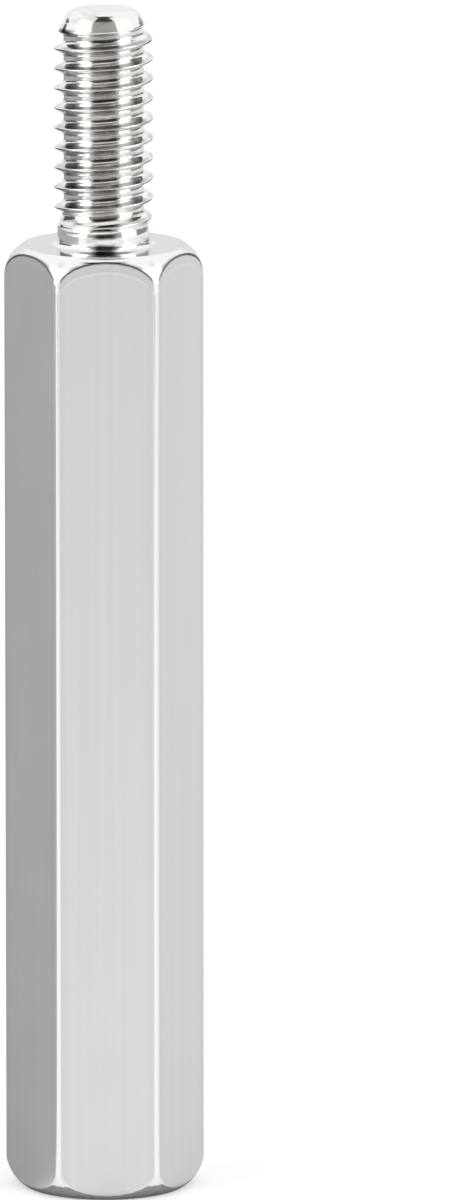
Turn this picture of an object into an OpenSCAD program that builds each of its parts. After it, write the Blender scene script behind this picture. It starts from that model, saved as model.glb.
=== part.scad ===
// Hex standoff: a hexagonal spacer with a threaded stud on one end and a tapped hole in the other.
// Turned from one hexagonal bar, so it is one solid. Millimetres.
// It stands on its tapped end: the origin is the middle of that face, and +Z runs up to the stud.

/* [Body] */
// Width of the hexagon across its flats
across_flats = 3.5; // [3.2:0.1:6]
// Length of the hexagon, from the tapped end to the shoulder
body_length = 19.2; // [8:0.1:40]
// Rounding of the six long edges
edge_radius = 0.19; // [0.04:0.01:0.3]
// How much smaller the round end faces are than the width across the flats
face_step = 0.2; // [0.05:0.01:0.6]
// Length of the turned rounding at each end, along the body
rounding_depth = 0.8; // [0.4:0.05:1.5]
// Angle along the rounding's curve at the rim of the end face; it ends at 0 on the corners
rim_angle = 70; // [45:1:80]
// Width and height of the fine bevel on the rim of the end face
rim_bevel = 0.02; // [0.01:0.01:0.08]

/* [Thread] */
// Outside diameter of the thread, on the stud and in the tapped hole
thread_diameter = 2; // [1.6:0.1:2.5]
// Distance from one turn of the thread to the next
thread_pitch = 0.4; // [0.25:0.05:0.5]

/* [Stud] */
// Length of the stud, from the shoulder to its tip
stud_length = 4.75; // [3:0.05:12]
// Length of the plain neck between the shoulder and the thread
neck_length = 0.5; // [0.3:0.05:1.2]
// How much thinner the neck is than the thread, where it leaves the shoulder
neck_step = 0.14; // [0.06:0.01:0.3]
// How much the neck narrows on its way up to the thread
neck_taper = 0.02; // [0.01:0.01:0.1]
// Radius of the fillet at the foot of the neck
foot_radius = 0.1; // [0.08:0.01:0.2]
// Length of the long bevel that leads into the thread
lead_length = 0.65; // [0.3:0.05:1]
// Slope of that bevel, measured from the axis
lead_angle = 25; // [15:1:35]
// Width of the short bevel around the flat tip
tip_bevel = 0.1; // [0.05:0.01:0.2]

/* [Tapped hole] */
// Depth of the thread in the tapped end
tapped_depth = 5; // [3:0.1:8]
// How far the drilled wall goes on past the thread
drill_past = 1.2; // [0.5:0.1:3]
// Angle of the cone that the drill leaves
drill_point_angle = 118; // [90:1:140]
// How much wider the mouth of the hole is than the thread
mouth_step = 0.2; // [0.1:0.05:0.5]
// Angle of the countersink at the mouth
mouth_angle = 90; // [60:5:120]

/* [Hidden] */
$fn = 96;

// Straight steps in the rounding of one long edge
edge_steps = 5;
// Overlap that carries a cut or a join past a surface
over = 0.5;

flat_radius = across_flats / 2;
corner_radius = flat_radius / cos(30);
face_radius = flat_radius - face_step / 2;

// Half axes of the ellipse that the end roundings follow, and straight steps along it
rounding_across = (corner_radius - face_radius) / (1 - cos(rim_angle));
rounding_along = (rounding_depth - rim_bevel) / sin(rim_angle);
rounding_steps = 7;

// Metric thread form: flanks at 60 degrees to each other, crests an eighth of the pitch wide
thread_radius = thread_diameter / 2;
flank_slope = tan(60 / 2);
crest_width = thread_pitch / 8;
// Depth of the thread on the stud, as a share of the pitch
depth_share = 0.5;
root_radius = thread_radius - depth_share * thread_pitch;
drill_radius = thread_radius - thread_pitch / 2;

shoulder_z = body_length;
tip_z = body_length + stud_length;
neck_top_z = shoulder_z + neck_length;
neck_foot_radius = thread_radius - neck_step / 2;
neck_top_radius = neck_foot_radius - neck_taper / 2;
lead_radius = thread_radius - lead_length * tan(lead_angle);
stud_turns = 1 + floor((stud_length - neck_length - tip_bevel - thread_pitch / 4) / thread_pitch);

mouth_radius = thread_radius + mouth_step / 2;
mouth_depth = (mouth_radius - drill_radius) / tan(mouth_angle / 2);
drill_depth = tapped_depth + drill_past;
hole_end_z = drill_depth + drill_radius / tan(drill_point_angle / 2);
hole_turns = floor((tapped_depth - mouth_depth) / thread_pitch);

// Points of the rounded corner that lies at the given angle
function corner_arc(angle) =
    let (centre_radius = corner_radius - edge_radius / cos(30))
    [for (step = [0 : edge_steps])
        let (turn = angle - 30 + 60 * step / edge_steps)
        centre_radius * [cos(angle), sin(angle)] + edge_radius * [cos(turn), sin(turn)]];

// Six-sided bar with its long edges rounded, a flat facing -Y
module hexagonal_bar() {
    linear_extrude(height = body_length)
        polygon([for (corner = [0 : 5]) each corner_arc(60 * corner)]);
}

// Radius and distance from the end, from the rim of the face to the corners of the bar
rounding_points = [for (step = [0 : rounding_steps])
    let (turn = rim_angle * (1 - step / rounding_steps))
    [
        face_radius + rounding_across * (cos(turn) - cos(rim_angle)),
        rim_bevel + rounding_along * (sin(rim_angle) - sin(turn)),
    ]];

// Turned shape that leaves the round end faces and the roundings on the bar
module end_roundings() {
    rotate_extrude()
        polygon([
            [0, 0],
            [face_radius - rim_bevel, 0],
            each rounding_points,
            for (step = [rounding_steps : -1 : 0])
                [rounding_points[step][0], body_length - rounding_points[step][1]],
            [face_radius - rim_bevel, body_length],
            [0, body_length],
        ]);
}

// Outline of one thread groove, with its point at a radius and its mouth at another
module groove(point_radius, point_width, mouth_at) {
    mouth_width = point_width + 2 * abs(mouth_at - point_radius) * flank_slope;
    polygon([
        [point_radius, -point_width / 2],
        [mouth_at, -mouth_width / 2],
        [mouth_at, mouth_width / 2],
        [point_radius, point_width / 2],
    ]);
}

// Half outline of the stud before the thread is cut: neck, thread blank, lead and tip
module stud_blank() {
    difference() {
        polygon([
            [0, shoulder_z - over],
            [neck_foot_radius + foot_radius, shoulder_z - over],
            [neck_foot_radius + foot_radius, shoulder_z],
            [neck_foot_radius, shoulder_z + foot_radius],
            [neck_top_radius, neck_top_z],
            [thread_radius, neck_top_z],
            [thread_radius, tip_z - lead_length],
            [lead_radius + tip_bevel * tan(lead_angle), tip_z - tip_bevel],
            [lead_radius - tip_bevel, tip_z],
            [0, tip_z],
        ]);
        translate([neck_foot_radius + foot_radius, shoulder_z + foot_radius])
            circle(r = foot_radius);
    }
}

// Rings at the pitch stand for the turns of the thread
module stud_grooves() {
    root_width = thread_pitch - crest_width - 2 * (thread_radius - root_radius) * flank_slope;
    for (turn = [0 : stud_turns - 1])
        translate([0, neck_top_z + turn * thread_pitch])
            groove(root_radius, root_width, thread_radius + crest_width / 2);
}

module stud() {
    rotate_extrude()
        difference() {
            stud_blank();
            stud_grooves();
        }
}

// Everything that the drill, the countersink and the tap take out of the tapped end
module tapped_hole() {
    rotate_extrude()
        union() {
            polygon([
                [0, -over],
                [mouth_radius + over * tan(mouth_angle / 2), -over],
                [drill_radius, mouth_depth],
                [drill_radius, drill_depth],
                [0, hole_end_z],
            ]);
            for (turn = [0 : hole_turns - 1])
                translate([0, tapped_depth - (turn + 0.5) * thread_pitch])
                    groove(thread_radius, crest_width, drill_radius - crest_width / 2);
        }
}

module standoff() {
    color([0.86, 0.855, 0.85])
        difference() {
            union() {
                intersection() {
                    hexagonal_bar();
                    end_roundings();
                }
                stud();
            }
            tapped_hole();
        }
}

standoff();
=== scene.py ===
"""Looks of the hex standoff: a hexagonal spacer with a threaded stud and a tapped hole.

Sizes are in millimetres until a mesh is made, and everything in the scene is in metres.
"""

import logging
import math
from collections.abc import Callable
from dataclasses import dataclass, field
from enum import Enum

import bpy
import numpy as np
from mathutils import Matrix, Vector


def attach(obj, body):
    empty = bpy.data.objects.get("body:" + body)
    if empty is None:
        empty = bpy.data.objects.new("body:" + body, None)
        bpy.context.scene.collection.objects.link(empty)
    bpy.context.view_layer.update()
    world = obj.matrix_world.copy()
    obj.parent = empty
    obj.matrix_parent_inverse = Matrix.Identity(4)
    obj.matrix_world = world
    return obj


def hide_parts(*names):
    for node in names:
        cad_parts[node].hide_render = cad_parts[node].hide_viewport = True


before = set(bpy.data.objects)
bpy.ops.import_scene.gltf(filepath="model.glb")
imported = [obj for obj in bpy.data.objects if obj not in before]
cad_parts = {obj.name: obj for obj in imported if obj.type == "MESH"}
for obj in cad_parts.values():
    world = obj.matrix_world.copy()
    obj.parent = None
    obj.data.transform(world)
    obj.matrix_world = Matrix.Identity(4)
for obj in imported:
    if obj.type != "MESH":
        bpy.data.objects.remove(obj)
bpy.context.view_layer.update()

log = logging.getLogger("standoff")

# Metres in a millimetre
MM = 0.001
# Points in each ring round the axis, and how many of them belong to one flat
COLUMNS = 144
SECTOR = COLUMNS // 6
# Half of the angle that one flat takes up
HALF_FLAT = math.radians(30.0)
# Height that the lamps and the cards face, in millimetres
MIDDLE_HEIGHT = 12.0
# Usual range of a noise pattern
NOISE_LOW = 0.3
NOISE_HIGH = 0.7
WHITE = (1.0, 1.0, 1.0, 1.0)

Numbers = np.ndarray
Socket = bpy.types.NodeSocket


class Surface(Enum):
    """Surfaces of the piece that have a finish of their own."""

    BODY = 0
    STUD = 1
    BORE = 2


def smooth_step(low: float, high: float, value: Numbers) -> Numbers:
    """Rise smoothly from 0 to 1.

    Args:
        low: Value at which the rise starts.
        high: Value at which it ends.
        value: Where to read it.

    Returns:
        The share between 0 and 1.
    """
    share = np.clip((value - low) / (high - low), 0.0, 1.0)
    return share * share * (3.0 - 2.0 * share)


def rise_and_fall(limits: tuple, value: Numbers) -> Numbers:
    """Rise smoothly to 1 and fall back to 0.

    Args:
        limits: Where the rise starts and ends, then where the fall starts and ends.
        value: Where to read it.

    Returns:
        The share between 0 and 1.
    """
    rise_start, rise_end, fall_start, fall_end = limits
    fallen = smooth_step(fall_start, fall_end, value)
    return smooth_step(rise_start, rise_end, value) * (1.0 - fallen)


def soft_least(first: Numbers, second: Numbers, blend: float) -> Numbers:
    """Take the lesser of two values, with their crossing rounded.

    Args:
        first: One value.
        second: The other value.
        blend: Difference below which the rounding starts.

    Returns:
        The rounded lesser value.
    """
    near = np.maximum(blend - np.abs(first - second), 0.0)
    return np.minimum(first, second) - near * near / (4.0 * blend)


def bent_line(start: tuple, corner: tuple, end: tuple, steps: int) -> list[tuple]:
    """Lay points along a curve that leaves one line and joins another.

    Args:
        start: Point on the first line, as radius and height.
        corner: Point where the two lines would meet.
        end: Point on the second line.
        steps: Intervals along the curve.

    Returns:
        Points from start to end, both included.
    """
    shares = [step / steps for step in range(steps + 1)]
    return [
        tuple(
            (1 - t) ** 2 * a + 2 * t * (1 - t) * b + t**2 * c
            for a, b, c in zip(start, corner, end)
        )
        for t in shares
    ]


def read_by_side(turn: Numbers | float, marks: tuple) -> Numbers:
    """Read a value that depends on how far round a point lies from the front or the back.

    Args:
        turn: Angle round the axis.
        marks: Pairs of that distance in degrees and the value there.

    Returns:
        The value.
    """
    side = np.degrees(np.arccos(np.abs(np.sin(turn))))
    return np.interp(side, *zip(*marks))


def direction(angle: float, rise: float) -> tuple[float, float, float]:
    """Point away from the object.

    Args:
        angle: Degrees round the axis, 0 at the front and 90 at +X.
        rise: Degrees above the table.

    Returns:
        A vector one long.
    """
    turn, up = math.radians(angle), math.radians(rise)
    return math.sin(turn) * math.cos(up), -math.cos(turn) * math.cos(up), math.sin(up)


def link_object(made: bpy.types.Object) -> bpy.types.Object:
    """Put a new object in the scene and return it."""
    bpy.context.scene.collection.objects.link(made)
    return made


def look_back(made: bpy.types.Object, away: Vector) -> None:
    """Turn a lamp or the camera so that it looks against the given direction."""
    made.rotation_mode = "QUATERNION"
    made.rotation_quaternion = (-away).to_track_quat("-Z", "Y")


class Skin:
    """Closed skin of a turned piece, laid as rings of points that all have the same columns."""

    def __init__(self) -> None:
        """Start with no points and no faces."""
        self.points: list[tuple[float, float, float]] = []
        self.polish: list[float] = []
        # Painted shade of each point: how far the materials darken it
        self.painted_shade: list[float] = []
        self.faces: list[tuple[int, ...]] = []
        self.surfaces: list[int] = []
        self.turns = 2.0 * math.pi * np.arange(COLUMNS) / COLUMNS

    def ring(
        self,
        radii: Numbers | float,
        heights: Numbers | float,
        angles: Numbers | None = None,
        polish: float = 1.0,
        painted_shade: Numbers | float = 0.0,
    ) -> Numbers:
        """Add one ring of points.

        Args:
            radii: Distance of each point from the axis.
            heights: Height of each point.
            angles: Angle of each point round the axis, even where left out.
            polish: 1 for a bright turned surface, 0 for the satin of drawn bar.
            painted_shade: How dark the painted shade is at each point, from 0 to 1.

        Returns:
            Numbers of the new points.
        """
        angles = self.turns if angles is None else angles
        radii = np.broadcast_to(radii, COLUMNS)
        heights = np.broadcast_to(heights, COLUMNS)
        first = len(self.points)
        self.points += zip(
            (radii * np.cos(angles)).tolist(), (radii * np.sin(angles)).tolist(), heights.tolist()
        )
        self.polish += [polish] * COLUMNS
        self.painted_shade += np.broadcast_to(painted_shade, COLUMNS).tolist()
        return np.arange(first, first + COLUMNS)

    def middle(self, height: float) -> int:
        """Add one point on the axis.

        Args:
            height: Its height.

        Returns:
            Its number.
        """
        self.points.append((0.0, 0.0, height))
        self.polish.append(1.0)
        self.painted_shade.append(0.0)
        return len(self.points) - 1

    def face(self, corners: tuple[int, ...], surface: Surface, turned_over: bool = False) -> None:
        """Add one face.

        Args:
            corners: Its points, counter-clockwise from outside.
            surface: The surface that it belongs to.
            turned_over: True to face it the other way.
        """
        self.faces.append(corners[::-1] if turned_over else corners)
        self.surfaces.append(surface.value)

    def band(self, ring: Numbers, following: Numbers, surface: Surface) -> None:
        """Join two rings that follow each other along the skin.

        Args:
            ring: Points of the first ring.
            following: Points of the second ring.
            surface: The surface that the band belongs to.
        """
        for column in range(COLUMNS):
            beside = (column + 1) % COLUMNS
            corners = (ring[column], ring[beside], following[beside], following[column])
            self.face(tuple(int(number) for number in corners), surface)

    def lathe(self, ring: Numbers, outline: list[tuple], surface: Surface) -> Numbers:
        """Carry the skin on along a turned outline.

        Args:
            ring: Points of the ring that it starts from.
            outline: Radius and height of each new ring, and its painted shade where it has some.
            surface: The surface that the outline belongs to.

        Returns:
            Points of the last ring.
        """
        for radius, height, *shaded in outline:
            following = self.ring(radius, height, painted_shade=shaded[0] if shaded else 0.0)
            self.band(ring, following, surface)
            ring = following
        return ring

    def cap(self, ring: Numbers, middle: int, surface: Surface, opening: bool) -> None:
        """Close the skin on the axis.

        Args:
            ring: Points round the middle.
            middle: Number of the middle point.
            surface: The surface that the cap belongs to.
            opening: True where the skin starts at the cap, False where it ends there.
        """
        for column in range(COLUMNS):
            beside = (column + 1) % COLUMNS
            self.face((int(ring[column]), int(ring[beside]), middle), surface, turned_over=opening)

    def helix(
        self,
        base: float,
        pitch: float,
        steps: int,
        phases: list[int],
        radius: Callable[[Numbers, Numbers], Numbers],
        painted_shade: Callable[[Numbers, Numbers, float], Numbers],
        surface: Surface,
        inward: bool = False,
    ) -> tuple[Numbers, Numbers]:
        """Lay rows of points that climb with a thread, between two level rings.

        Each column has a row wherever the thread passes one of the phases, so that
        the faces run along the crests and roots and no step shows.

        Args:
            base: Height of the lower ring.
            pitch: Rise of the thread in one turn.
            steps: Height of the upper ring, in steps of the pitch over the columns.
            phases: Places in the thread's form that have a row, in the same steps.
            radius: Gives the radius from the phase and the height.
            painted_shade: Gives the painted shade from the phase, the height and the angle round
                the axis.
            surface: The surface that the thread belongs to.
            inward: True for a thread that faces the axis.

        Returns:
            Points of the lower ring and of the upper ring.
        """
        rows = []
        for column in range(COLUMNS):
            inner = {
                turn * COLUMNS + phase + column
                for phase in phases
                for turn in range(-2, steps // COLUMNS + 1)
            }
            rows.append([0] + sorted(step for step in inner if 0 < step < steps) + [steps])
        numbers = []
        for column, levels in enumerate(rows):
            step = np.array(levels)
            height = base + step * (pitch / COLUMNS)
            phase = ((step - column) % COLUMNS) / COLUMNS
            distance = radius(phase, height)
            first = len(self.points)
            turn = self.turns[column]
            self.points += zip(
                (distance * math.cos(turn)).tolist(),
                (distance * math.sin(turn)).tolist(),
                height.tolist(),
            )
            self.polish += [1.0] * len(levels)
            self.painted_shade += painted_shade(phase, height, turn).tolist()
            numbers.append({level: first + index for index, level in enumerate(levels)})
        for column, levels in enumerate(rows):
            own, beside = numbers[column], numbers[(column + 1) % COLUMNS]
            lines = [(0, 0)] + ([(0, 1)] if 1 in beside else [])
            lines += [(level, level + 1) for level in levels[1:-1]] + [(steps, steps)]
            for (left, right), (left_up, right_up) in zip(lines, lines[1:]):
                corners = (own[left], beside[right], beside[right_up], own[left_up])
                self.face(tuple(dict.fromkeys(corners)), surface, turned_over=inward)
        lower = np.array([column[0] for column in numbers])
        upper = np.array([column[steps] for column in numbers])
        return lower, upper

    def point_normals(self) -> Numbers:
        """Average the faces round each point by their area, so that flats stay flat.

        Returns:
            One unit vector for each point.
        """
        points = np.array(self.points)
        total = np.zeros_like(points)
        for corners in (3, 4):
            chosen = np.array([face for face in self.faces if len(face) == corners])
            if not len(chosen):
                continue
            first = points[chosen[:, 2]] - points[chosen[:, 0]]
            second = points[chosen[:, corners - 1]] - points[chosen[:, 1]]
            across = np.cross(first, second)
            for corner in range(corners):
                np.add.at(total, chosen[:, corner], across)
        return total / np.linalg.norm(total, axis=1, keepdims=True)

    def make(self, name: str) -> bpy.types.Object:
        """Turn the skin into a mesh object in metres.

        Args:
            name: Name of the object.

        Returns:
            The new object, linked to the scene.
        """
        mesh = bpy.data.meshes.new(name)
        mesh.from_pydata((np.array(self.points) * MM).tolist(), [], self.faces)
        mesh.polygons.foreach_set("material_index", self.surfaces)
        mesh.polygons.foreach_set("use_smooth", [True] * len(self.faces))
        # The polish, and the painted shade that the materials darken by
        for attribute, values in (("polish", self.polish), ("painted_shade", self.painted_shade)):
            layer = mesh.attributes.new(attribute, "FLOAT", "POINT")
            layer.data.foreach_set("value", values)
        mesh.normals_split_custom_set_from_vertices(self.point_normals().tolist())
        mesh.update()
        return link_object(bpy.data.objects.new(name, mesh))


@dataclass(frozen=True)
class EndRounding:
    """Turned rounding between a round end face and the corners of the bar."""

    rim_radius: float = 1.65
    depth: float = 0.80
    rim_angle: float = 70.0
    rim_bevel: float = 0.02

    def point(self, turn: Numbers, corner_radius: float) -> tuple[Numbers, Numbers]:
        """Find a point of the rounding, an elliptic curve below the bevel of the rim.

        It ends parallel with the axis.

        Args:
            turn: Angle along the curve, from the rim's angle down to 0 at the sharp corner.
            corner_radius: Radius of the bar's sharp corners.

        Returns:
            Its radius, and its distance from the end.
        """
        rim = math.radians(self.rim_angle)
        across = (corner_radius - self.rim_radius) / (1.0 - math.cos(rim))
        along = (self.depth - self.rim_bevel) / math.sin(rim)
        radius = self.rim_radius + across * (np.cos(turn) - math.cos(rim))
        return radius, self.rim_bevel + along * (math.sin(rim) - np.sin(turn))

    def turn_at(self, radius: Numbers, corner_radius: float) -> Numbers:
        """Find where the curve has the given radius.

        Args:
            radius: The radius.
            corner_radius: Radius of the bar's sharp corners.

        Returns:
            The angle along the curve.
        """
        rim = math.radians(self.rim_angle)
        across = (corner_radius - self.rim_radius) / (1.0 - math.cos(rim))
        return np.arccos(np.clip((radius - self.rim_radius) / across + math.cos(rim), -1.0, 1.0))


@dataclass
class HexBody:
    """The length of hexagonal bar between the two round end faces."""

    across_flats: float = 3.5
    length: float = 19.2
    flat_rings: int = 5
    # Long edges: how many columns from the edge the polish fades, and where a faint painted shade
    # line lies beside it
    edge_radius: float = 0.19
    edge_steps: int = 12
    polish_fade: tuple = (2.3, 4.8)
    edge_shade_columns: tuple = (3.8, 5.0, 7.0, 8.0)
    edge_shade: float = 0.04
    # Ends: the rim of the face, the rounding, and the narrow bend between it and the flat,
    # with the rim's bend and the slope's step as angles along the rounding, in radians
    end: EndRounding = EndRounding()
    rim_bend: float = 0.04
    rim_share: float = 0.2
    rim_steps: int = 5
    rounding_steps: int = 7
    slope_step: float = 0.01
    bend_width: float = 0.035
    bend_polish: tuple = (0.9, 0.5, 0.15, 0.0)
    # Border line along the bend: share of its width, share of the ridge's height, and polish
    border_width: float = 0.16
    border_lean: float = 0.005
    lean_left: float = 0.9
    ridge_height: float = 0.0016
    border_rings: tuple = ((0.4, 0.0, 0.0), (0.8, 0.4, 0.0), (0.93, 0.9, 0.1), (1.0, 1.0, 0.3))
    # The same past the border, with the distance from it first
    ridge_rings: tuple = ((0.014, 0.35, 0.3), (0.03, 0.0, 0.12), (0.06, 0.0, 0.0), (0.16, 0.0, 0.0))
    foot_border: float = 0.1
    shoulder_border: float = 0.9
    # Painted shade of each ring of the rounding and the bend, on the flats and on the corners: a
    # dark line painted along the arch, and darker wedges painted at the corners
    arch_shade: tuple = (0.0, 0.0, 0.0, 0.0, 0.0, 0.35, 0.9, 0.95, 0.9, 0.5, 0.0)
    corner_shade: tuple = (0.0, 0.1, 0.22, 0.34, 0.38, 0.34, 0.16, 0.0, 0.0, 0.0, 0.0)

    @property
    def corner_radius(self) -> float:
        """Radius of the sharp corners that the long edges round off."""
        return self.across_flats / 2 / math.cos(HALF_FLAT)

    def edge_curve(self) -> Numbers:
        """Round one long edge off.

        Returns:
            Points of the rounding, across and outwards, with the sharp corner as origin.
        """
        turn = np.radians(np.linspace(-30.0, 30.0, self.edge_steps + 1))
        set_in = np.cos(turn) - 1.0 / math.cos(HALF_FLAT)
        return self.edge_radius * np.stack([np.sin(turn), set_in], axis=1)

    def section(self) -> tuple[Numbers, Numbers]:
        """Lay the hexagon's section, with columns gathered at its edges.

        Returns:
            Angle and radius of each column.
        """
        curve = self.edge_curve()
        half = self.edge_steps // 2
        flat_steps = SECTOR - self.edge_steps
        plane = np.zeros((COLUMNS, 2))
        corners = []
        for edge in range(7):
            turn = math.radians(60.0 * edge)
            outward = np.array([math.cos(turn), math.sin(turn)])
            across = np.array([-math.sin(turn), math.cos(turn)])
            corners.append(curve[:, :1] * across + (self.corner_radius + curve[:, 1:]) * outward)
        for edge in range(6):
            for step in range(self.edge_steps + 1):
                plane[(SECTOR * edge + step - half) % COLUMNS] = corners[edge][step]
            start, end = corners[edge][-1], corners[edge + 1][0]
            for step in range(1, flat_steps):
                share = 0.5 - 0.5 * math.cos(math.pi * step / flat_steps)
                plane[SECTOR * edge + half + step] = start + share * (end - start)
        angles = np.unwrap(np.arctan2(plane[:, 1], plane[:, 0]))
        return angles, np.hypot(plane[:, 0], plane[:, 1])

    def column_polish(self) -> Numbers:
        """Give the polish of each column: bright on the edges, satin on the flats."""
        return 1.0 - smooth_step(*self.polish_fade, self.columns_from_edge())

    def column_shade(self) -> Numbers:
        """Give the painted shade of each column: a faint dark line painted on both sides of each
        edge.
        """
        return self.edge_shade * np.interp(self.columns_from_edge(), self.edge_shade_columns, (0, 1, 1, 0))

    @staticmethod
    def columns_from_edge() -> Numbers:
        """Count how many columns away the nearest edge is, for each column."""
        place = (np.arange(COLUMNS) + SECTOR // 2) % SECTOR - SECTOR // 2
        return np.abs(place).astype(float)

    def end_outline(self, reach: Numbers, border: float) -> list[tuple]:
        """Follow one end, from its round face over the rounding to the flats.

        Args:
            reach: Radius of the section in each column.
            border: How strongly the border along the flat shows, from 0 to 1.

        Returns:
            Radius, distance from the end, polish and painted shade of each ring.
        """
        end = self.end
        first = math.radians(end.rim_angle) - self.rim_bend
        start = end.point(np.array(first), self.corner_radius)
        face_edge = (end.rim_radius - end.rim_bevel, 0.0)
        set_in = end.rim_bevel * self.rim_share
        rim = bent_line(face_edge, (end.rim_radius - set_in, set_in), start, self.rim_steps)
        rings = [(radius + 0 * reach, depth + 0 * reach, 1.0, 0.0) for radius, depth in rim]
        edges = self.column_polish()
        # Painted shade: a dark line along the arch and darker corners, as strong as the border
        # shows
        shaded = [
            border * (flat * (1.0 - edges) + corner * edges)
            for flat, corner in zip(self.arch_shade, self.corner_shade)
        ]
        near = end.turn_at(reach, self.corner_radius)
        bent = end.turn_at(reach - self.bend_width / 2, self.corner_radius)
        last = np.minimum(bent, 0.5 * (near + first))
        for step, dark in enumerate(shaded[: self.rounding_steps], 1):
            turn = first + (last - first) * step / self.rounding_steps
            rings.append((*end.point(turn, self.corner_radius), 1.0, dark))
        radius, depth = rings[-1][:2]
        behind = end.point(last + self.slope_step, self.corner_radius)
        lean = self.border_lean * border
        leaning = reach - lean
        meeting = depth + (leaning - radius) * (depth - behind[1]) / (radius - behind[0])
        high = meeting + self.bend_width
        bend_end = (reach - lean * self.lean_left, high)
        curved = bent_line((radius, depth), (leaning, meeting), bend_end, len(self.bend_polish))
        for point, share, dark in zip(curved[1:], self.bend_polish, shaded[self.rounding_steps :]):
            rings.append((*point, share, dark))
        ridge = self.ridge_height * border
        for part, raised, share in self.border_rings:
            radius = reach - lean * (1.0 - part) * self.lean_left + ridge * raised
            rings.append((radius, high + self.border_width * part, share * border, 0.0))
        low = high + self.border_width
        for further, raised, share in self.ridge_rings:
            rings.append((reach + raised * ridge, low + further, share * border, 0.0))
        return rings

    def wrap(self, skin: Skin, ring: Numbers) -> tuple[Numbers, Numbers]:
        """Carry the skin from the lower face over the roundings and flats to the shoulder.

        Args:
            skin: The skin so far.
            ring: Points of the ring that it starts from.

        Returns:
            Points of the last ring, and the angles of its columns.
        """
        angles, reach = self.section()
        polish = self.column_polish()
        low = self.end_outline(reach, self.foot_border)
        high = [
            (radius, self.length - depth, share, shaded)
            for radius, depth, share, shaded in self.end_outline(reach, self.shoulder_border)[::-1]
        ]
        between = []
        for step in range(1, self.flat_rings + 1):
            share = step / (self.flat_rings + 1)
            between.append((reach, low[-1][1] * (1 - share) + high[0][1] * share, 0.0, 0.0))
        for radius, height, share, shaded in low + between + high:
            # Painted shade beside each edge, where the ring isn't polished
            shaded = np.maximum(shaded, (1.0 - share) * self.column_shade())
            following = skin.ring(radius, height, angles, painted_shade=shaded)
            for index, number in enumerate(following):
                skin.polish[int(number)] = max(share, float(polish[index]))
            skin.band(ring, following, Surface.BODY)
            ring = following
        return ring, angles


@dataclass
class ThreadForm:
    """Metric thread, its crests and roots rounded."""

    diameter: float = 2.0
    pitch: float = 0.4
    depth: float = 0.2
    # Slope of the flanks, measured from the axis
    flank_angle: float = 60.0
    crest_width: float = 0.02
    crest_rounding: float = 0.03
    root_rounding: float = 0.09
    hole_blend: float = 0.03

    @property
    def radius(self) -> float:
        """Radius over the crests."""
        return self.diameter / 2

    def flank(self, phase: Numbers) -> tuple[Numbers, Numbers]:
        """Follow the flanks on, as if they met in sharp edges.

        Args:
            phase: Place along the thread's form, with the middle of a crest at 0.

        Returns:
            Distance from the middle of the crest along the axis, and how far the flank has fallen.
        """
        away = np.minimum(phase, 1.0 - phase) * self.pitch
        return away, (away - self.crest_width / 2) * math.tan(math.radians(self.flank_angle))

    def stud_radius(self, phase: Numbers) -> Numbers:
        """Radius of the stud's thread at a phase.

        Args:
            phase: Place along the thread's form, with the middle of a crest at 0.

        Returns:
            The radius.
        """
        away, fall = self.flank(phase)
        fall = np.clip(fall, 0.0, self.depth)
        slope = math.radians(self.flank_angle)
        crest_edge = self.crest_width / 2
        root_edge = crest_edge + self.depth / math.tan(slope)
        corners = (
            (crest_edge, self.crest_rounding, 0.0, 1.0),
            (root_edge, self.root_rounding, self.depth, -1.0),
        )
        for corner, rounding, level, side in corners:
            middle = corner - side * rounding * math.tan(slope / 2)
            along = side * (away - middle)
            drop = rounding - np.sqrt(np.maximum(rounding**2 - along**2, 0.0))
            inside = (along > 0.0) & (along < rounding * math.sin(slope))
            fall = np.where(inside, level + side * drop, fall)
        return self.radius - fall

    def hole_radius(self, phase: Numbers, drilled: float) -> Numbers:
        """Radius of the hole's thread at a phase.

        Args:
            phase: Place along the thread's form, with the middle of a root at 0.
            drilled: Radius of the drilled wall, which the crests keep.

        Returns:
            The radius.
        """
        _, fall = self.flank(phase)
        flank = self.radius - fall
        raised = -soft_least(-flank, np.full_like(flank, -drilled), self.hole_blend)
        return soft_least(raised, np.full_like(flank, self.radius), self.hole_blend)


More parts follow.
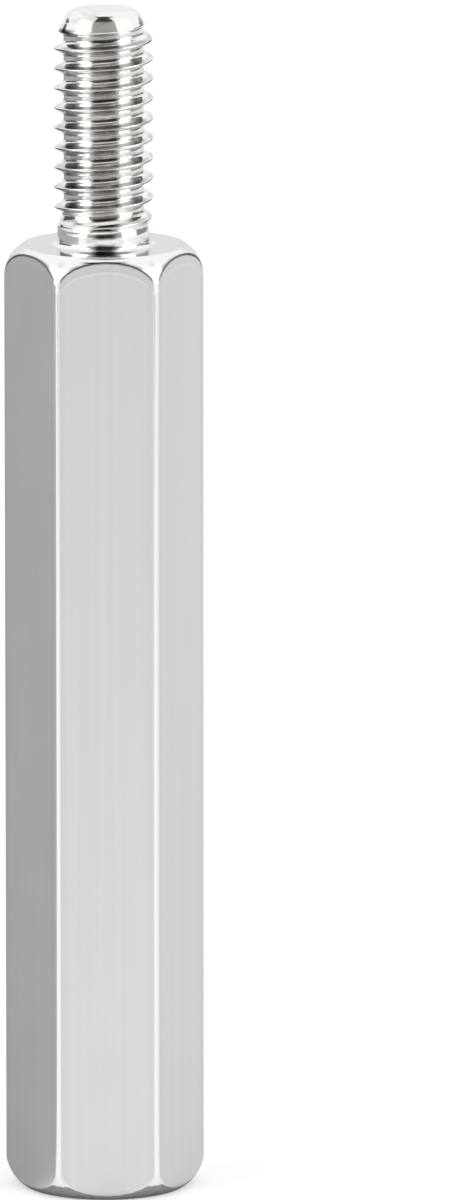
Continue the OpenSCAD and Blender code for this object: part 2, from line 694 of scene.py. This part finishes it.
@dataclass
class TappedHole:
    """The blind tapped hole in the lower end."""

    thread: ThreadForm = field(default_factory=ThreadForm)
    threaded_depth: float = 5.0
    run_out: float = 0.6
    past_thread: float = 0.1
    drill_depth: float = 6.2
    drill_point_angle: float = 118.0
    cone_radii: tuple = (0.2, 0.5)
    cone_margin: float = 0.02
    mouth_radius: float = 1.1
    mouth_angle: float = 90.0
    mouth_blend: float = 0.02
    mouth_rounding: float = 0.025
    mouth_steps: int = 3
    # Height of the lowest ring of the thread, and the places in its form that have a row
    base_height: float = 0.07
    phases: tuple[int, ...] = (0, 9, 18, 36, 52, 62, 82, 92, 108, 126, 135)

    def open(self, skin: Skin) -> Numbers:
        """Start the skin at the drill's point and bring it out at the mouth.

        Args:
            skin: The skin, still empty.

        Returns:
            Points of the ring round the mouth.
        """
        drilled = self.thread.radius - self.thread.pitch / 2
        steepness = math.tan(math.radians(self.mouth_angle / 2))
        cone_slope = math.tan(math.radians(self.drill_point_angle / 2))
        point_height = self.drill_depth + drilled / cone_slope
        middle = skin.middle(point_height)
        cone = [
            (radius, point_height - radius / cone_slope)
            for radius in (*self.cone_radii, drilled - self.cone_margin)
        ]
        first = skin.ring(*cone[0])
        skin.cap(first, middle, Surface.BORE, opening=True)
        drilled_end = (drilled, self.drill_depth - self.cone_margin)
        ring = skin.lathe(first, [*cone[1:], drilled_end], Surface.BORE)

        def wall(phase: Numbers, height: Numbers) -> Numbers:
            """Radius of the wall: thread, its run-out and the countersink together.

            Args:
                phase: Place along the thread's form.
                height: Height of the point.

            Returns:
                The radius.
            """
            run_out_start = self.threaded_depth - self.run_out
            full = 1.0 - smooth_step(run_out_start, self.threaded_depth, height)
            threaded = drilled + full * (self.thread.hole_radius(phase, drilled) - drilled)
            countersink = self.mouth_radius - height * steepness
            return -soft_least(-threaded, -countersink, self.mouth_blend)

        rise = self.threaded_depth + self.past_thread - self.base_height
        lower, upper = skin.helix(
            self.base_height,
            self.thread.pitch,
            int(rise / self.thread.pitch * COLUMNS),
            list(self.phases),
            wall,
            lambda phase, height, turn: np.zeros_like(phase),
            Surface.BORE,
            inward=True,
        )
        skin.band(ring, upper, Surface.BORE)
        rounding = self.mouth_rounding
        mouth = bent_line(
            (self.mouth_radius - rounding * steepness, rounding),
            (self.mouth_radius, 0.0),
            (self.mouth_radius + rounding, 0.0),
            self.mouth_steps,
        )
        return skin.lathe(lower, mouth, Surface.BODY)


@dataclass
class Stud:
    """The threaded stud on the shoulder, with its neck and its lead-in."""

    thread: ThreadForm = field(default_factory=ThreadForm)
    base_height: float = 19.2
    length: float = 4.75
    neck_foot_radius: float = 0.93
    neck_slope: float = 0.025
    foot_radius: float = 0.1
    crest_height: float = 0.165
    run_out_start: float = 0.25
    run_out_end: float = 0.78
    lead_length: float = 0.65
    lead_angle: float = 25.0
    lead_blend: float = 0.03
    flat_radius: float = 0.55
    tip_rounding: float = 0.2
    tip_steps: int = 9
    tip_radii: tuple = (0.3, 0.1)
    # Places in one half of the thread's form that have a row
    half_phases: tuple[int, ...] = (2, 4, 6, 8, 11, 21, 27, 35, 39, 43, 47, 51, 55, 59, 64)
    # Parts of the thread's form, and of the stud's height, between which each painted dark line
    # comes and goes
    lower_groove: tuple = (0.02, 0.07, 0.15, 0.20)
    upper_groove: tuple = (0.28, 0.34, 0.47, 0.53)
    root_line: tuple = (0.50, 0.56, 0.64, 0.70)
    flank_line: tuple = (0.60, 0.68, 0.92, 0.99)
    crest_rise: tuple = (0.93, 0.96)
    crest_fall: tuple = (0.01, 0.03)
    shade_heights: tuple = (0.40, 0.55, 4.38, 4.46)
    # How dark each painted reflection and shade is, by the degrees from the front or the back
    groove_shade: tuple = (
        (0, 1.0), (15, 1.0), (21, 0.4), (34, 0.36), (40, 0.52), (54, 0.52), (64, 0.25)
    )
    root_shade: tuple = ((0, 0.6), (16, 0.55), (24, 0.1), (50, 0.1), (60, 0.0))
    flank_shade: tuple = ((38, 0.0), (56, 0.86))
    crest_shade: tuple = ((0, 0.45), (20, 0.25), (45, 0.25), (60, 0.8))
    neck_shade: tuple = ((0, 1.0), (9, 1.0), (18, 0.0))
    shoulder_shade: tuple = ((0, 0.75), (20, 0.7), (31, 0.0))
    # The same by the height on the neck, and for each ring of the fillet and of the shoulder
    neck_rows: tuple = ((0.165, 0.0), (0.22, 0.0), (0.26, 0.9), (0.32, 0.9), (0.36, 0.0))
    fillet_shade: tuple = (0.2, 0.3, 0.5, 0.9, 1.0, 1.0)
    shoulder_ring_shade: tuple = (0.0, 0.0, 0.0, 0.4, 1.0, 0.9, 0.3)

    def envelope(self, height: Numbers) -> Numbers:
        """Largest radius that the lead-in leaves at a height."""
        above = np.maximum(height - (self.base_height + self.length - self.lead_length), 0.0)
        return self.thread.radius - above * math.tan(math.radians(self.lead_angle))

    def surface_radius(self, phase: Numbers, height: Numbers) -> Numbers:
        """Radius of the stud: neck, run-out, thread and lead-in together.

        Args:
            phase: Place along the thread's form.
            height: Height of the point.

        Returns:
            The radius.
        """
        above = height - self.base_height
        neck = self.neck_foot_radius - self.neck_slope * (above - self.foot_radius)
        full = smooth_step(self.run_out_start, self.run_out_end, above)
        threaded = neck + full * (self.thread.stud_radius(phase) - neck)
        return soft_least(threaded, self.envelope(height), self.lead_blend)

    def thread_shade(self, phase: Numbers, height: Numbers, turn: float) -> Numbers:
        """Painted reflections and shade on the thread and the neck: dark lines along each turn, and
        darker flanks at the sides.

        Args:
            phase: Place along the thread's form, upwards from the middle of a crest.
            height: Height of the point.
            turn: Angle round the axis.

        Returns:
            How dark the painted shade is, from 0 to 1.
        """
        lower = rise_and_fall(self.lower_groove, phase)
        upper = rise_and_fall(self.upper_groove, phase)
        crest = smooth_step(*self.crest_rise, phase) + 1.0 - smooth_step(*self.crest_fall, phase)
        # Dark lines painted along the turns, as painted reflections and shade
        shaded = read_by_side(turn, self.groove_shade) * (lower + upper)
        shaded += read_by_side(turn, self.flank_shade) * rise_and_fall(self.flank_line, phase)
        shaded += read_by_side(turn, self.root_shade) * rise_and_fall(self.root_line, phase)
        shaded += read_by_side(turn, self.crest_shade) * crest
        above = height - self.base_height
        neck = read_by_side(turn, self.neck_shade) * np.interp(above, *zip(*self.neck_rows))
        return np.minimum(rise_and_fall(self.shade_heights, above) * shaded + neck, 1.0)

    def raise_from(self, skin: Skin, ring: Numbers, angles: Numbers, rim_radius: float) -> None:
        """Carry the skin over the shoulder, up the stud and to its tip.

        Args:
            skin: The skin so far.
            ring: Points at the rim of the shoulder.
            angles: Angles of their columns.
            rim_radius: Radius of that rim.
        """
        foot = self.neck_foot_radius + self.foot_radius
        # Painted shade on the shoulder and the fillet, by the angle round the axis
        for step, dark in enumerate(self.shoulder_ring_shade, 1):
            share = step / len(self.shoulder_ring_shade)
            spread = angles + smooth_step(0.0, 1.0, np.array(share)) * (skin.turns - angles)
            radius = rim_radius + share * (foot - rim_radius)
            shaded = dark * read_by_side(spread, self.shoulder_shade)
            following = skin.ring(radius, self.base_height, spread, painted_shade=shaded)
            skin.band(ring, following, Surface.BODY)
            ring = following
        neck = read_by_side(skin.turns, self.neck_shade)
        fillet = []
        for step, dark in enumerate(self.fillet_shade, 1):
            turn = math.radians(90 * step / len(self.fillet_shade))
            radius = foot - self.foot_radius * math.sin(turn)
            height = self.base_height + self.foot_radius * (1.0 - math.cos(turn))
            fillet.append((radius, height, dark * neck))
        ring = skin.lathe(ring, fillet, Surface.STUD)
        base = self.base_height + self.crest_height
        top = self.base_height + self.length
        steps = int((top - self.tip_rounding - base) / self.thread.pitch * COLUMNS)
        phases = [0, COLUMNS // 2, *self.half_phases]
        phases += [COLUMNS - phase for phase in self.half_phases]
        lower, upper = skin.helix(
            base,
            self.thread.pitch,
            steps,
            sorted(phases),
            self.surface_radius,
            self.thread_shade,
            Surface.STUD,
        )
        skin.band(ring, lower, Surface.STUD)
        end_height = base + steps * self.thread.pitch / COLUMNS
        end_radius = float(self.envelope(np.array(end_height)))
        bevel = bent_line(
            (end_radius, end_height),
            (end_radius - (top - end_height) * math.tan(math.radians(self.lead_angle)), top),
            (self.flat_radius, top),
            self.tip_steps,
        )
        flat = [(radius, top) for radius in self.tip_radii]
        ring = skin.lathe(upper, bevel[1:] + flat, Surface.STUD)
        skin.cap(ring, skin.middle(top), Surface.STUD, opening=False)


class NodeSheet:
    """Short way to lay and join the nodes of one material."""

    def __init__(self, tree: bpy.types.NodeTree) -> None:
        """Keep the tree and clear it."""
        self.tree = tree
        tree.nodes.clear()

    def add(self, kind: str, inputs: dict | None = None, **settings: object) -> bpy.types.Node:
        """Add a node.

        Args:
            kind: Its type, without the prefix that all shader nodes share.
            inputs: Values or sockets for its inputs, by name or number.
            settings: Its other settings.

        Returns:
            The new node.
        """
        node = self.tree.nodes.new("ShaderNode" + kind)
        for name, value in settings.items():
            setattr(node, name, value)
        for name, value in (inputs or {}).items():
            if isinstance(value, bpy.types.NodeSocket):
                self.tree.links.new(value, node.inputs[name])
            else:
                node.inputs[name].default_value = value
        return node

    def place(self) -> Socket:
        """Read the place of a point on the piece, in metres."""
        return self.add("TexCoord").outputs["Object"]

    def mark(self, name: str) -> Socket:
        """Read a value that the mesh holds at each point."""
        return self.add("Attribute", attribute_name=name).outputs["Fac"]

    def noise(self, place: Socket, stretch: tuple, detail: float = 3.0) -> Socket:
        """Lay a noise pattern with its own stretch along each axis.

        Args:
            place: Coordinates in metres.
            stretch: Grains per millimetre along each axis.
            detail: Octaves of finer grain.

        Returns:
            The pattern's value, about 0.5.
        """
        scale = tuple(value / MM for value in stretch)
        mapped = self.add("Mapping", {"Vector": place, "Scale": scale})
        made = self.add("TexNoise", {"Vector": mapped.outputs[0], "Scale": 1.0, "Detail": detail})
        return made.outputs[0]

    def spread(self, value: Socket, low: float = 0.0, high: float = 1.0) -> Socket:
        """Map a pattern's usual range onto another range."""
        ends = {"From Min": NOISE_LOW, "From Max": NOISE_HIGH, "To Min": low, "To Max": high}
        return self.add("MapRange", {"Value": value, **ends}).outputs[0]

    def mix(self, share: object, first: object, second: object, blend: str = "MIX") -> Socket:
        """Mix two colours.

        Args:
            share: How much of the second, as a number or a socket.
            first: One colour.
            second: The other colour.
            blend: Name of the way that they mix.

        Returns:
            The mixed colour.
        """
        node = self.add("Mix", {0: share, 6: first, 7: second}, data_type="RGBA", blend_type=blend)
        return node.outputs[2]

    def choose(self, share: Socket, first: Socket, second: Socket) -> Socket:
        """Mix two numbers."""
        return self.add("Mix", {0: share, 2: first, 3: second}).outputs[0]

    def work_out(self, operation: str, *values: object, clamp: bool = False) -> Socket:
        """Work out a number.

        Args:
            operation: Name of the sum.
            values: Its numbers or sockets, in order.
            clamp: True to keep the result between 0 and 1.

        Returns:
            The result.
        """
        node = self.add("Math", dict(enumerate(values)), operation=operation, use_clamp=clamp)
        return node.outputs[0]

    def metal(
        self,
        colour: Socket,
        roughness: Socket,
        relief: Socket,
        height: float,
        grazing: Socket | None = None,
    ) -> None:
        """Finish the material as bare metal with fine marks.

        Args:
            colour: Its colour, seen head-on.
            roughness: How satin it is.
            relief: Pattern of the marks.
            height: Height of the marks in millimetres.
            grazing: Its colour at a grazing angle, where that isn't white.
        """
        bump = self.add("Bump", {"Height": relief, "Strength": 1.0, "Distance": height * MM})
        inputs = {
            "Base Color": colour,
            "Metallic": 1.0,
            "Roughness": roughness,
            "Normal": bump.outputs[0],
        }
        if grazing is not None:
            inputs["Specular Tint"] = grazing
        shader = self.add("BsdfPrincipled", inputs)
        self.add("OutputMaterial", {"Surface": shader.outputs[0]})

    def matt(self, colour: tuple, light: tuple, glow: float | Socket) -> None:
        """Finish the material as a matt surface with some light of its own.

        Args:
            colour: Its colour.
            light: Colour of its light.
            glow: Strength of that light.
        """
        dull = self.add("BsdfDiffuse", {"Color": colour})
        lit = self.add("Emission", {"Color": light, "Strength": glow})
        both = self.add("AddShader", {0: dull.outputs[0], 1: lit.outputs[0]})
        self.add("OutputMaterial", {"Surface": both.outputs[0]})


def new_material(name: str) -> tuple[bpy.types.Material, NodeSheet]:
    """Make a material.

    Args:
        name: Its name.

    Returns:
        The material, and the sheet for its nodes.
    """
    made = bpy.data.materials.new(name)
    made.use_nodes = True
    return made, NodeSheet(made.node_tree)


@dataclass(frozen=True)
class NickelPlate:
    """Nickel plate over drawn bar: satin on the flats, bright where a tool has turned it."""

    name: str = "nickel_plate_body"
    satin: tuple = (0.80, 0.795, 0.79, 1.0)
    satin_share: float = 0.35
    satin_cool: tuple = (0.78, 0.79, 0.785, 1.0)
    satin_warm: tuple = (0.815, 0.795, 0.79, 1.0)
    streak_dark: tuple = (0.98, 0.98, 0.98, 1.0)
    streak_light: tuple = (1.013, 1.013, 1.013, 1.0)
    bright: tuple = (0.935, 0.925, 0.93, 1.0)
    # Colour of the painted shade on the arches, corners and beside the edges
    shaded: tuple = (0.10, 0.095, 0.09, 1.0)
    grazing: tuple = (0.84, 0.84, 0.835, 1.0)
    satin_roughness: tuple = (0.37, 0.43)
    bright_roughness: tuple = (0.10, 0.16)
    streak_height: float = 0.0006
    # Grains per millimetre along X, Y and the bar
    streak_grain: tuple = (8.0, 8.0, 0.06)
    patch_grain: tuple = (0.5, 0.5, 0.22)
    cloud_grain: tuple = (1.1, 1.1, 0.6)
    tool_grain: tuple = (0.5, 0.5, 40.0)

    def material(self) -> bpy.types.Material:
        """Make the material.

        Returns:
            The material, with its nodes.
        """
        made, sheet = new_material(self.name)
        place = sheet.place()
        polish = sheet.mark("polish")
        painted_shade = sheet.mark("painted_shade")
        streaks = sheet.noise(place, self.streak_grain)
        patches = sheet.noise(place, self.patch_grain, 2.0)
        clouds = sheet.noise(place, self.cloud_grain)
        tool_marks = sheet.noise(place, self.tool_grain, 2.0)
        tint = sheet.mix(sheet.spread(patches), self.satin_cool, self.satin_warm)
        tint = sheet.mix(self.satin_share, tint, self.satin)
        shade = sheet.mix(sheet.spread(streaks), self.streak_dark, self.streak_light)
        satin = sheet.mix(1.0, tint, shade, "MULTIPLY")
        colour = sheet.mix(polish, satin, self.bright)
        satin_rough = sheet.spread(clouds, *self.satin_roughness)
        bright_rough = sheet.spread(clouds, *self.bright_roughness)
        # Painted shade darkens the colour and the grazing tint where the mesh holds it
        sheet.metal(
            sheet.mix(painted_shade, colour, self.shaded),
            sheet.choose(polish, satin_rough, bright_rough),
            sheet.choose(polish, streaks, tool_marks),
            self.streak_height,
            sheet.mix(painted_shade, self.grazing, self.shaded),
        )
        return made


@dataclass(frozen=True)
class RolledThread:
    """Bright nickel plate on the stud, with painted reflections and shade as dark lines along the
    turns.
    """

    name: str = "nickel_plate_stud"
    bright: tuple = (0.95, 0.935, 0.92, 1.0)
    dull: tuple = (0.92, 0.90, 0.88, 1.0)
    # Colour of the painted reflections and shade along the turns
    painted_dark: tuple = (0.07, 0.06, 0.052, 1.0)
    unevenness: float = 0.22
    roughness: tuple = (0.08, 0.18)
    mark_height: float = 0.003
    # Grains per millimetre along X, Y and the stud
    cloud_grain: tuple = (3.0, 3.0, 3.0)
    mark_grain: tuple = (4.5, 4.5, 9.0)
    stain_grain: tuple = (2.2, 2.2, 5.0)

    def material(self) -> bpy.types.Material:
        """Make the material.

        Returns:
            The material, with its nodes.
        """
        made, sheet = new_material(self.name)
        place = sheet.place()
        clouds = sheet.noise(place, self.cloud_grain)
        stains = sheet.noise(place, self.stain_grain)
        uneven = sheet.spread(stains, -self.unevenness, self.unevenness)
        # Painted shade from the mesh, with random uneven patches of the same dark added
        dark = sheet.work_out("ADD", sheet.mark("painted_shade"), uneven, clamp=True)
        sheet.metal(
            sheet.mix(dark, sheet.mix(sheet.spread(clouds), self.bright, self.dull), self.painted_dark),
            sheet.spread(clouds, *self.roughness),
            sheet.noise(place, self.mark_grain),
            self.mark_height,
        )
        return made


@dataclass(frozen=True)
class TappedWall:
    """Thinner plate inside the tapped hole, a little warmer, with the tap's marks."""

    name: str = "nickel_plate_bore"
    plate: tuple = (0.78, 0.765, 0.74, 1.0)
    warm: tuple = (0.74, 0.69, 0.60, 1.0)
    warm_share: float = 0.7
    roughness: tuple = (0.18, 0.30)
    mark_height: float = 0.0015
    # Grains per millimetre along X, Y and the hole
    cloud_grain: tuple = (2.0, 2.0, 1.2)
    mark_grain: tuple = (5.0, 5.0, 25.0)

    def material(self) -> bpy.types.Material:
        """Make the material.

        Returns:
            The material, with its nodes.
        """
        made, sheet = new_material(self.name)
        place = sheet.place()
        clouds = sheet.noise(place, self.cloud_grain)
        grain = sheet.noise(place, self.mark_grain)
        sheet.metal(
            sheet.mix(sheet.spread(clouds, 0.0, self.warm_share), self.plate, self.warm),
            sheet.spread(grain, *self.roughness),
            grain,
            self.mark_height,
        )
        return made


@dataclass
class Standoff:
    """The whole turned piece: hexagonal body, tapped hole and threaded stud in one skin."""

    body: HexBody = field(default_factory=HexBody)
    hole: TappedHole = field(default_factory=TappedHole)
    stud: Stud = field(default_factory=Stud)
    name: str = "turned_standoff"
    face_margin: float = 0.01
    face_rings: int = 4

    def build(self) -> bpy.types.Object:
        """Build and dress the piece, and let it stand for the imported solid.

        Returns:
            The piece.
        """
        skin = Skin()
        ring = self.hole.open(skin)
        angles, _ = self.body.section()
        inner = self.hole.mouth_radius + self.hole.mouth_rounding
        outer = self.body.end.rim_radius - self.body.end.rim_bevel - self.face_margin
        for step in range(1, self.face_rings + 1):
            share = step / (self.face_rings + 1)
            spread = skin.turns + smooth_step(0.0, 1.0, np.array(share)) * (angles - skin.turns)
            following = skin.ring(inner + share * (outer - inner), 0.0, spread)
            skin.band(ring, following, Surface.BODY)
            ring = following
        ring, angles = self.body.wrap(skin, ring)
        self.stud.raise_from(skin, ring, angles, outer)
        piece = skin.make(self.name)
        for finish in (NickelPlate(), RolledThread(), TappedWall()):
            piece.data.materials.append(finish.material())
        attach(piece, "root")
        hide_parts("standoff")
        return piece


def hang_matt(
    name: str, points: list[tuple], faces: list[tuple], grey: float, tint: tuple, glow: float = 0.0
) -> bpy.types.Object:
    """Make a matt surface of the studio that only the metal's reflections see.

    Args:
        name: Its name.
        points: Its points in metres.
        faces: Its faces.
        grey: How pale it is.
        tint: Its hue, as a share of that grey in each colour.
        glow: Light of its own, for a card that is lit through.

    Returns:
        The new object.
    """
    mesh = bpy.data.meshes.new(name)
    mesh.from_pydata(points, [], faces)
    material, sheet = new_material(name)
    colour = tuple(grey * share for share in tint)
    sheet.matt((*colour, 1.0), (*tint, 1.0), glow)
    mesh.materials.append(material)
    made = link_object(bpy.data.objects.new(name, mesh))
    made.visible_camera = False
    made.visible_shadow = False
    made.visible_diffuse = False
    return made


@dataclass
class Table:
    """The plain white table that the standoff stands on."""

    half_width: float = 1500.0
    grey: float = 0.80
    seen_glow: float = 0.30
    mirrored_glow: float = 0.20

    def lay(self) -> bpy.types.Object:
        """Lay the table top.

        Returns:
            The table top.
        """
        half = self.half_width * MM
        mesh = bpy.data.meshes.new("table")
        corners = [(-half, -half, 0), (half, -half, 0), (half, half, 0), (-half, half, 0)]
        mesh.from_pydata(corners, [], [(0, 1, 2, 3)])
        made = link_object(bpy.data.objects.new("table", mesh))
        material, sheet = new_material("white_table")
        path = sheet.add("LightPath").outputs
        mirrored = sheet.work_out("MAXIMUM", path["Is Glossy Ray"], path["Is Transmission Ray"])
        glow = sheet.work_out("MULTIPLY", mirrored, self.mirrored_glow)
        glow = sheet.work_out("MULTIPLY_ADD", path["Is Camera Ray"], self.seen_glow, glow)
        sheet.matt((self.grey, self.grey, self.grey, 1.0), WHITE, glow)
        mesh.materials.append(material)
        return made


@dataclass
class Card:
    """A matt card that the bright metal mirrors, bent round the object."""

    name: str
    middle_angle: float
    half_angle: float
    low_angle: float
    high_angle: float
    distance: float
    grey: float
    tint: tuple = (1.0, 0.96, 0.91)
    glow: float = 0.0
    columns: int = 12
    rows: int = 16

    def hang(self) -> bpy.types.Object:
        """Hang the card, on the inside of a sphere round the object.

        Returns:
            The card.
        """
        points, faces = [], []
        reach = self.distance * MM
        for row in range(self.rows + 1):
            rise = self.low_angle + (self.high_angle - self.low_angle) * row / self.rows
            for column in range(self.columns + 1):
                side = 2 * self.half_angle * column / self.columns
                x, y, z = direction(self.middle_angle - self.half_angle + side, rise)
                points.append((reach * x, reach * y, reach * z + MIDDLE_HEIGHT * MM))
        across = self.columns + 1
        for row in range(self.rows):
            for corner in range(row * across, row * across + self.columns):
                faces.append((corner, corner + 1, corner + across + 1, corner + across))
        return hang_matt(self.name, points, faces, self.grey, self.tint, self.glow)


@dataclass
class TableShade:
    """A darker sector of the table top, as the metal mirrors it."""

    name: str
    inner_radius: float
    outer_radius: float
    middle_angle: float
    half_angle: float
    grey: float
    tint: tuple = (1.0, 0.985, 0.97)
    height: float = 0.004
    steps: int = 72

    def lay(self) -> bpy.types.Object:
        """Lay the sector on the table.

        Returns:
            The sector.
        """
        points, faces = [], []
        for step in range(self.steps + 1):
            angle = self.middle_angle + self.half_angle * (2 * step / self.steps - 1)
            x, y, _ = direction(angle, 0.0)
            for radius in (self.inner_radius, self.outer_radius):
                points.append((radius * MM * x, radius * MM * y, self.height * MM))
        for first in range(0, 2 * self.steps, 2):
            faces.append((first, first + 1, first + 3, first + 2))
        return hang_matt(self.name, points, faces, self.grey, self.tint)


@dataclass
class SoftBox:
    """A large plain lamp that faces the object."""

    name: str
    angle: float
    rise: float
    distance: float
    width: float
    height: float
    radiance: float

    def hang(self) -> bpy.types.Object:
        """Hang the lamp.

        Returns:
            The lamp.
        """
        lamp = bpy.data.lights.new(self.name, "AREA")
        lamp.shape = "RECTANGLE"
        lamp.size, lamp.size_y = self.width * MM, self.height * MM
        lamp.energy = self.radiance * math.pi * lamp.size * lamp.size_y
        made = link_object(bpy.data.objects.new(self.name, lamp))
        away = Vector(direction(self.angle, self.rise))
        made.location = away * (self.distance * MM) + Vector((0, 0, MIDDLE_HEIGHT * MM))
        look_back(made, away)
        return made


@dataclass
class Studio:
    """Plain soft studio: white surroundings, two lamps and the cards round the object."""

    table: Table = field(default_factory=Table)
    fill: float = 0.8

    def surroundings(self) -> None:
        """Make the world white as it is seen and mirrored, and softer as a light."""
        world = bpy.data.worlds.new("white_surroundings")
        bpy.context.scene.world = world
        world.use_nodes = True
        sheet = NodeSheet(world.node_tree)
        path = sheet.add("LightPath").outputs
        seen = sheet.work_out("MAXIMUM", path["Is Camera Ray"], path["Is Glossy Ray"])
        seen = sheet.work_out("MAXIMUM", seen, path["Is Transmission Ray"])
        soft = sheet.add("Background", {"Color": WHITE, "Strength": self.fill})
        white = sheet.add("Background", {"Color": WHITE, "Strength": 1.0})
        mixed = sheet.add("MixShader", {0: seen, 1: soft.outputs[0], 2: white.outputs[0]})
        sheet.add("OutputWorld", {"Surface": mixed.outputs[0]})

    def set_up(self) -> None:
        """Set up the surroundings, the table, the lamps and the cards."""
        self.surroundings()
        self.table.lay()
        for shade in (
            TableShade("foot_shade", 1.2, 2.0, 0.0, 180.0, 0.36),
            TableShade("left_shade", 2.05, 300.0, -118.0, 52.0, 0.43, (1.0, 0.995, 0.985)),
            TableShade("front_shade", 95.0, 130.0, 0.0, 50.0, 0.45),
            TableShade("right_shade", 2.05, 160.0, 118.0, 52.0, 0.86, (1.0, 0.99, 0.985)),
        ):
            shade.lay()
        for lamp in (
            SoftBox("lamp_left", -62.0, 22.0, 900.0, 700.0, 900.0, 1.35),
            SoftBox("lamp_right", 62.0, 22.0, 900.0, 700.0, 900.0, 1.35),
        ):
            lamp.hang()
        for card in (
            Card("front_card", 0.0, 46.0, -2.0, 30.0, 600.0, 0.42),
            Card("upper_card", 0.0, 42.0, 30.0, 52.0, 600.0, 0.42),
            Card("high_card", 0.0, 37.0, 52.0, 74.0, 600.0, 0.04),
            Card("top_card", 0.0, 90.0, 74.0, 89.9, 600.0, 0.04),
            Card("low_back_card", 180.0, 50.0, -2.0, 22.0, 610.0, 0.0, (0.98, 0.965, 1.0), 0.93),
            Card("left_card", -116.0, 27.0, -2.0, 16.0, 600.0, 0.10, (1.0, 0.99, 0.98)),
            Card("right_card", 117.0, 28.0, -2.0, 16.0, 600.0, 0.30),
        ):
            card.hang()


@dataclass
class ViewPoint:
    """The camera, far away with a long lens, at the photograph's angle."""

    lens: float = 500.0
    sensor: float = 36.0
    frame_height: float = 24.06
    azimuth: float = -2.1
    elevation: float = 11.0
    target: tuple = (2.531, 0.0, 11.94)
    # Nearest and farthest distance that it sees, in metres
    clip: tuple = (0.01, 20.0)

    def place(self) -> bpy.types.Object:
        """Place the camera and make it the scene's own.

        Returns:
            The camera.
        """
        data = bpy.data.cameras.new("camera")
        data.lens, data.sensor_width = self.lens, self.sensor
        data.clip_start, data.clip_end = self.clip
        camera = link_object(bpy.data.objects.new("camera", data))
        away = Vector(direction(self.azimuth, self.elevation))
        distance = self.frame_height * MM * self.lens / self.sensor
        camera.location = Vector(self.target) * MM + away * distance
        look_back(camera, away)
        bpy.context.scene.camera = camera
        return camera


def main() -> None:
    """Build the piece, then the studio round it."""
    logging.basicConfig(level=logging.INFO, format="%(name)s: %(message)s")
    bpy.context.scene.view_settings.view_transform = "Standard"
    piece = Standoff().build()
    log.info("%s has %d faces", piece.name, len(piece.data.polygons))
    Studio().set_up()
    log.info("studio is set up")
    ViewPoint().place()
    log.info("camera is placed")


if __name__ == "__main__":
    main()
